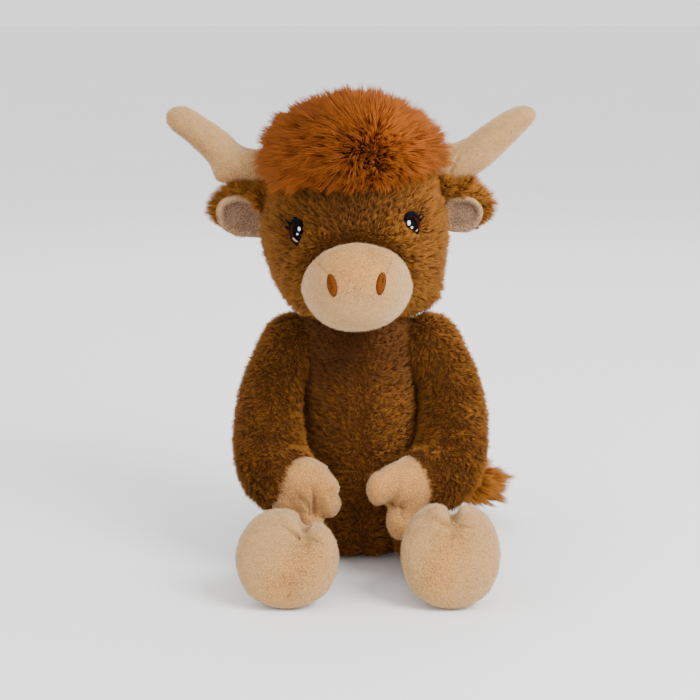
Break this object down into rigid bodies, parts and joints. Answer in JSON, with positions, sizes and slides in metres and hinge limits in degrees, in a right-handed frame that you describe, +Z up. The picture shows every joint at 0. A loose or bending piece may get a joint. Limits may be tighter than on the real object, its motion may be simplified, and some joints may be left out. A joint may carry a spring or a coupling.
{
  "type": "plush cow",
  "caption": "Seated plush cow with shaggy forelock, velour horns, muzzle and hooves, flat ears and tufted tail; head, ears, arms, legs and tail turn on their seams.",
  "frame": {"origin": "middle of the flat seat on which the toy sits", "axes": "+Z up; the toy faces -Y; +X is the toy's own left side, at the right of a viewer in front"},
  "size_m": [0.2644, 0.2261, 0.34],
  "materials": {
    "body_plush": "short brown plush",
    "head_plush": "short brown plush, a little lighter",
    "long_pile": "long rust-orange pile",
    "velour": "beige velour",
    "eye_stitching": "black embroidery with white and brown stitches",
    "nostril_stitching": "rust satin stitch",
    "filling": "white polyester fibre",
    "pellet_pouch": "pouch of plastic pellets"
  },
  "bodies": {
    "torso": {"torso_cover": "body_plush", "torso_filling": "filling", "pellet_bag": "pellet_pouch"},
    "neck_seam": {"neck_seam_thread": "head_plush"},
    "head": {"head_cover": "head_plush", "head_filling": "filling", "muzzle_cover": "velour", "muzzle_filling": "filling", "eye_left": "eye_stitching", "eye_right": "eye_stitching", "nostril_left": "nostril_stitching", "nostril_right": "nostril_stitching", "horn_left_cover": "velour", "horn_left_filling": "filling", "horn_right_cover": "velour", "horn_right_filling": "filling", "forelock": "long_pile"},
    "ear_left": {"ear_left_outer": "head_plush", "ear_left_lining": "velour"},
    "ear_right": {"ear_right_outer": "head_plush", "ear_right_lining": "velour"},
    "arm_left": {"arm_left_cover": "body_plush", "arm_left_filling": "filling", "hoof_left_cover": "velour"},
    "arm_right": {"arm_right_cover": "body_plush", "arm_right_filling": "filling", "hoof_right_cover": "velour"},
    "leg_left": {"leg_left_cover": "body_plush", "leg_left_filling": "filling", "foot_left_cover": "velour", "sole_left": "velour"},
    "leg_right": {"leg_right_cover": "body_plush", "leg_right_filling": "filling", "foot_right_cover": "velour", "sole_right": "velour"},
    "tail": {"tail_stem": "body_plush", "tail_tuft": "long_pile"}
  },
  "joints": [
    {"name": "head_turn", "type": "hinge", "parent": "torso", "child": "neck_seam", "pos_m": [-0.005, 0, 0.235], "axis": [0, 0, 1], "range_deg": [-35, 35], "stiffness_Nm_per_rad": 1.2},
    {"name": "head_nod", "type": "hinge", "parent": "neck_seam", "child": "head", "pos_m": [-0.005, 0, 0.235], "axis": [1, 0, 0], "range_deg": [-18, 2], "stiffness_Nm_per_rad": 3},
    {"name": "ear_left_flap", "type": "hinge", "parent": "head", "child": "ear_left", "pos_m": [0.06256, 0, 0.25395], "axis": [0.1665, 0, -0.986], "range_deg": [-25, 45], "stiffness_Nm_per_rad": 0.02},
    {"name": "ear_right_flap", "type": "hinge", "parent": "head", "child": "ear_right", "pos_m": [-0.07306, 0, 0.25205], "axis": [0.1389, 0, 0.9903], "range_deg": [-25, 45], "stiffness_Nm_per_rad": 0.02},
    {"name": "arm_left_lift", "type": "hinge", "parent": "torso", "child": "arm_left", "pos_m": [0.05, 0, 0.152], "axis": [-0.9659, 0, 0.2588], "range_deg": [0, 60]},
    {"name": "arm_right_lift", "type": "hinge", "parent": "torso", "child": "arm_right", "pos_m": [-0.05, 0, 0.152], "axis": [-0.9659, 0, -0.2588], "range_deg": [0, 60]},
    {"name": "leg_left_splay", "type": "hinge", "parent": "torso", "child": "leg_left", "pos_m": [0.043, -0.047, 0.02], "axis": [0, 0, 1], "range_deg": [-8, 50]},
    {"name": "leg_right_splay", "type": "hinge", "parent": "torso", "child": "leg_right", "pos_m": [-0.043, -0.047, 0.02], "axis": [0, 0, -1], "range_deg": [-8, 50]},
    {"name": "tail_swing", "type": "hinge", "parent": "torso", "child": "tail", "pos_m": [0.006, 0.055, 0.042], "axis": [0, 0, 1], "range_deg": [-20, 110]}
  ]
}
